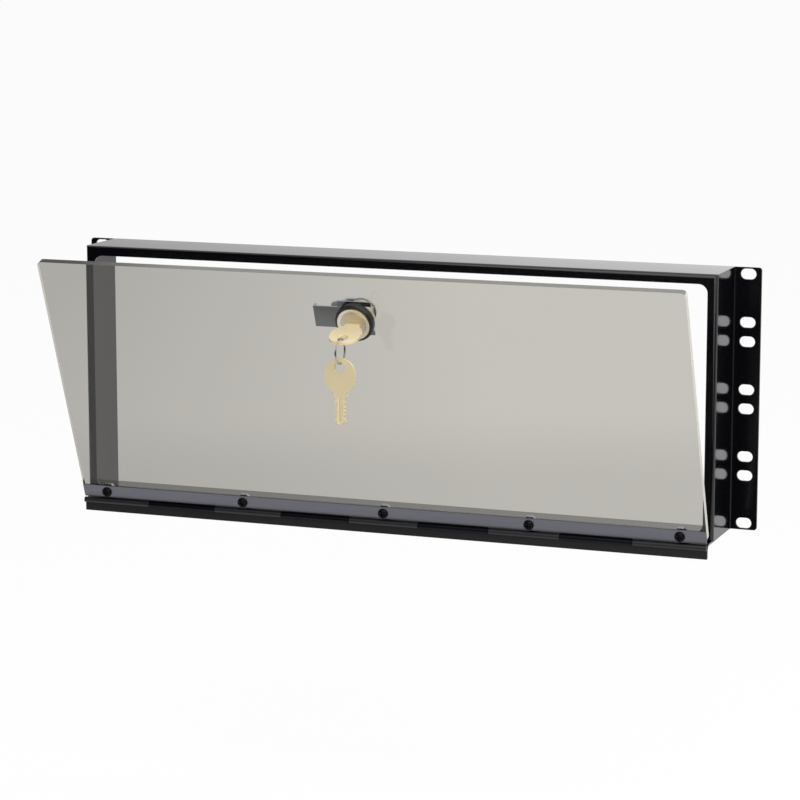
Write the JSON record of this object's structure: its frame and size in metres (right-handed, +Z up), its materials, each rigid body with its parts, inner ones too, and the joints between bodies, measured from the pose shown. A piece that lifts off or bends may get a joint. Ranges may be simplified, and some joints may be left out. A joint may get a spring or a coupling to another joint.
{
  "type": "hinged rack security cover",
  "caption": "Folded black steel rack frame with a smoked clear door that drops forward on a continuous hinge and locks with a key-operated cam",
  "frame": {"origin": "centre of the rack mounting plane, on the rear face of the two ears", "axes": "+X to the right seen from the front, +Y towards the rack, +Z up"},
  "size_m": [0.4826, 0.1463, 0.1837],
  "materials": {
    "black_powder_coat": "satin powder coat",
    "hinge_steel": "satin black on rolled steel",
    "smoked_acrylic": "polished, lightly smoked",
    "black_oxide_steel": "black oxide",
    "zinc_plated_steel": "bright zinc plate",
    "black_moulding": "moulded, semi-gloss",
    "nickel_plate": "polished nickel",
    "brass": "stamped, tumbled",
    "spring_steel": "nickel-plated wire"
  },
  "bodies": {
    "cover_frame": {"frame": "black_powder_coat", "hinge_angle": "black_powder_coat", "hinge_fixed_leaf": "black_powder_coat", "hinge_pin": "hinge_steel"},
    "door": {"hinge_moving_leaf": "hinge_steel", "door_panel": "smoked_acrylic", "hinge_screws": "black_oxide_steel", "hinge_nuts": "zinc_plated_steel", "lock_collar": "black_moulding", "lock_housing": "nickel_plate", "lock_clip": "zinc_plated_steel"},
    "lock_core": {"lock_plug": "brass", "lock_wafers": "brass", "stop_washer": "zinc_plated_steel", "lock_cam": "zinc_plated_steel", "cam_washer": "zinc_plated_steel", "cam_screw": "zinc_plated_steel", "key_in_lock": "brass"},
    "ring": {"key_ring": "spring_steel"},
    "hanging_key": {"spare_key": "brass"}
  },
  "joints": [
    {"name": "door_hinge", "type": "hinge", "parent": "cover_frame", "child": "door", "pos_m": [0, -0.05651, -0.089], "axis": [1, 0, 0], "range_deg": [-21, 149]},
    {"name": "lock_turn", "type": "hinge", "parent": "door", "child": "lock_core", "pos_m": [0.0015, -0.10973, 0.0551], "axis": [0, 0.9336, 0.3584], "range_deg": [0, 90]},
    {"name": "ring_swing", "type": "hinge", "parent": "lock_core", "child": "ring", "pos_m": [0.0015, -0.1377, 0.04436], "axis": [1, 0, 0], "range_deg": [-160, 24]},
    {"name": "key_swing", "type": "hinge", "parent": "ring", "child": "hanging_key", "pos_m": [0.0015, -0.1377, 0.03101], "axis": [0, 1, 0], "range_deg": [-45, 45]}
  ]
}
